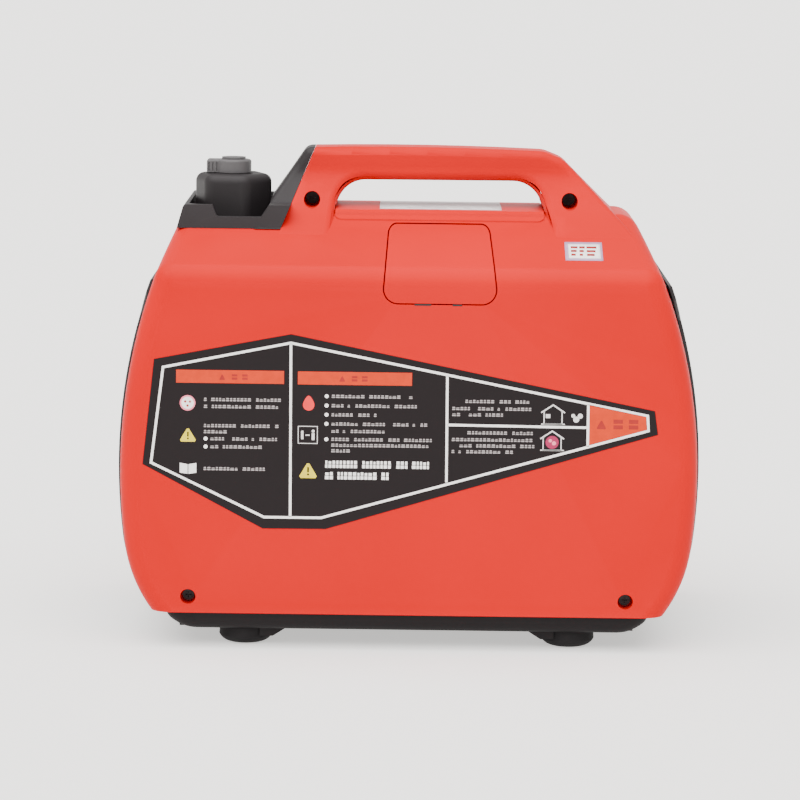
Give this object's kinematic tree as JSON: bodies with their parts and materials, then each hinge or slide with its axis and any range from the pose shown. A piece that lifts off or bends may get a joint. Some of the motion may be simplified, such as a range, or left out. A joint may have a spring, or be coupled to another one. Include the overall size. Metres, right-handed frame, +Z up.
{
  "type": "inverter generator",
  "caption": "Suitcase-type inverter generator with a carry handle over a crowned red casing, dark end panels, a hexagonal fuel cap, rubber feet and a full engine inside.",
  "frame": {"origin": "on the ground under the middle of the casing's bounding box", "axes": "+X from the control panel end to the exhaust end, +Y from the hatch side to the starter side, +Z up"},
  "size_m": [0.5, 0.2938, 0.4213],
  "materials": {
    "casing_red": "satin moulded",
    "trim_grey": "fine grain",
    "base_black": "fine grain",
    "foot_rubber": "matt",
    "label_print": "printed film",
    "zinc_screws": "blackened",
    "steel_parts": "machined",
    "tank_plastic": "moulded",
    "seal_rubber": "matt",
    "cast_alloy": "as cast",
    "iron_core": "varnished",
    "magnet": "ground",
    "fan_plastic": "moulded",
    "shroud_metal": "satin black",
    "exhaust_steel": "heat tinted",
    "ceramic_plug": "glazed",
    "rope_cord": "braided",
    "socket_black": "moulded",
    "knob_grey": "moulded",
    "panel_plate": "printed plate",
    "lamp_lens": "translucent lens",
    "terminal_metal": "plated",
    "button_red": "moulded"
  },
  "bodies": {
    "casing": {"near_side_shell": "casing_red", "far_side_shell": "casing_red", "top_deck_cover": "casing_red", "fuel_cap_surround": "trim_grey", "front_frame": "trim_grey", "control_panel": "panel_plate", "rear_panel": "trim_grey", "base_pan": "base_black", "rubber_feet": "foot_rubber", "maintenance_hinge_pin": "steel_parts", "warning_label": "label_print", "casing_screws": "zinc_screws", "fuel_tank": "tank_plastic", "fuel_tap_and_hose": "seal_rubber", "engine_mounts": "seal_rubber", "crankcase": "cast_alloy", "crankcase_cover": "cast_alloy", "main_bearings": "steel_parts", "cylinder_head": "cast_alloy", "rocker_cover": "shroud_metal", "spark_plug": "ceramic_plug", "spark_plug_boot": "seal_rubber", "ignition_coil_and_lead": "seal_rubber", "stator": "iron_core", "fan_shroud": "shroud_metal", "recoil_housing": "shroud_metal", "recoil_spring": "steel_parts", "starter_rope": "rope_cord", "starter_bezel": "trim_grey", "intake_manifold": "cast_alloy", "carburettor": "cast_alloy", "air_cleaner": "base_black", "muffler": "exhaust_steel", "exhaust_pipe": "exhaust_steel", "inverter_module": "cast_alloy", "ac_outlets": "socket_black", "dc_outlet": "socket_black", "indicator_lamps": "lamp_lens", "panel_terminals": "terminal_metal"},
    "hatch": {"spark_plug_hatch": "casing_red"},
    "maintenance_door": {"maintenance_cover": "trim_grey"},
    "door_latch": {"maintenance_latch": "knob_grey"},
    "cap_seal": {"fuel_cap_gasket": "seal_rubber"},
    "filler_cap": {"fuel_cap": "trim_grey"},
    "cap_vent": {"vent_lever": "knob_grey"},
    "crank_group": {"crankshaft": "steel_parts", "rotor_bell": "steel_parts", "rotor_magnets": "magnet", "fan_and_starter_cup": "fan_plastic"},
    "piston_group": {"piston": "cast_alloy", "piston_pins": "steel_parts", "connecting_rod": "cast_alloy"},
    "pulley": {"recoil_pulley": "fan_plastic"},
    "grip": {"starter_grip": "knob_grey"},
    "run_switch": {"engine_switch": "button_red"},
    "economy_rocker": {"eco_switch": "knob_grey"},
    "reset_button": {"breaker_button": "button_red"},
    "choke_lever": {"choke_slider": "knob_grey"},
    "oil_cap": {"oil_filler_cap": "knob_grey"}
  },
  "joints": [
    {"name": "hatch_lift", "type": "slide", "parent": "casing", "child": "hatch", "axis": [0, -0.6, 0.8], "range_m": [0, 0.09]},
    {"name": "door_hinge", "type": "hinge", "parent": "casing", "child": "maintenance_door", "pos_m": [-0.1795, 0.142, 0.134], "axis": [0, 0, 1], "range_deg": [0, 90]},
    {"name": "latch_turn", "type": "hinge", "parent": "maintenance_door", "child": "door_latch", "pos_m": [-0.088, 0.142, 0.134], "axis": [0, 1, 0], "range_deg": [0, 90]},
    {"name": "cap_lift", "type": "slide", "parent": "casing", "child": "cap_seal", "axis": [0, 0, 1], "range_m": [0, 0.25]},
    {"name": "cap_turn", "type": "hinge", "parent": "cap_seal", "child": "filler_cap", "pos_m": [-0.157, 0, 0.37], "axis": [0, 0, 1], "range_deg": [0, 180]},
    {"name": "vent_turn", "type": "hinge", "parent": "filler_cap", "child": "cap_vent", "pos_m": [-0.157, 0, 0.401], "axis": [0, 0, 1], "range_deg": [0, 90]},
    {"name": "crank_spin", "type": "hinge", "parent": "casing", "child": "crank_group", "pos_m": [0.025, 0, 0.108], "axis": [0, 1, 0], "continuous": true},
    {"name": "piston_stroke", "type": "slide", "parent": "casing", "child": "piston_group", "axis": [0, 0, -1], "range_m": [0, 0.043]},
    {"name": "grip_pull", "type": "slide", "parent": "casing", "child": "grip", "axis": [0, 1, 0], "range_m": [0, 0.5]},
    {"name": "pulley_turn", "type": "hinge", "parent": "casing", "child": "pulley", "pos_m": [0.025, 0.122, 0.108], "axis": [0, 1, 0], "range_deg": [-815, 0]},
    {"name": "switch_turn", "type": "hinge", "parent": "casing", "child": "run_switch", "pos_m": [-0.226, -0.04, 0.132], "axis": [-1, 0, 0], "range_deg": [0, 90]},
    {"name": "eco_rock", "type": "hinge", "parent": "casing", "child": "economy_rocker", "pos_m": [-0.225, 0.008, 0.146], "axis": [0, 1, 0], "range_deg": [0, 20]},
    {"name": "breaker_press", "type": "slide", "parent": "casing", "child": "reset_button", "axis": [1, 0, 0], "range_m": [0, 0.003], "stiffness_N_per_m": 400},
    {"name": "choke_slide", "type": "slide", "parent": "casing", "child": "choke_lever", "axis": [1, 0, 0], "range_m": [0, 0.026]},
    {"name": "oil_cap_turn", "type": "hinge", "parent": "casing", "child": "oil_cap", "pos_m": [-0.078, 0.058, 0.098], "axis": [-0.5507, 0.721, 0.4206], "range_deg": [0, 180]}
  ],
  "couplings": [
    {"joint": "pulley_turn", "follows": "grip_pull", "rad_per_m": -28.169}
  ]
}
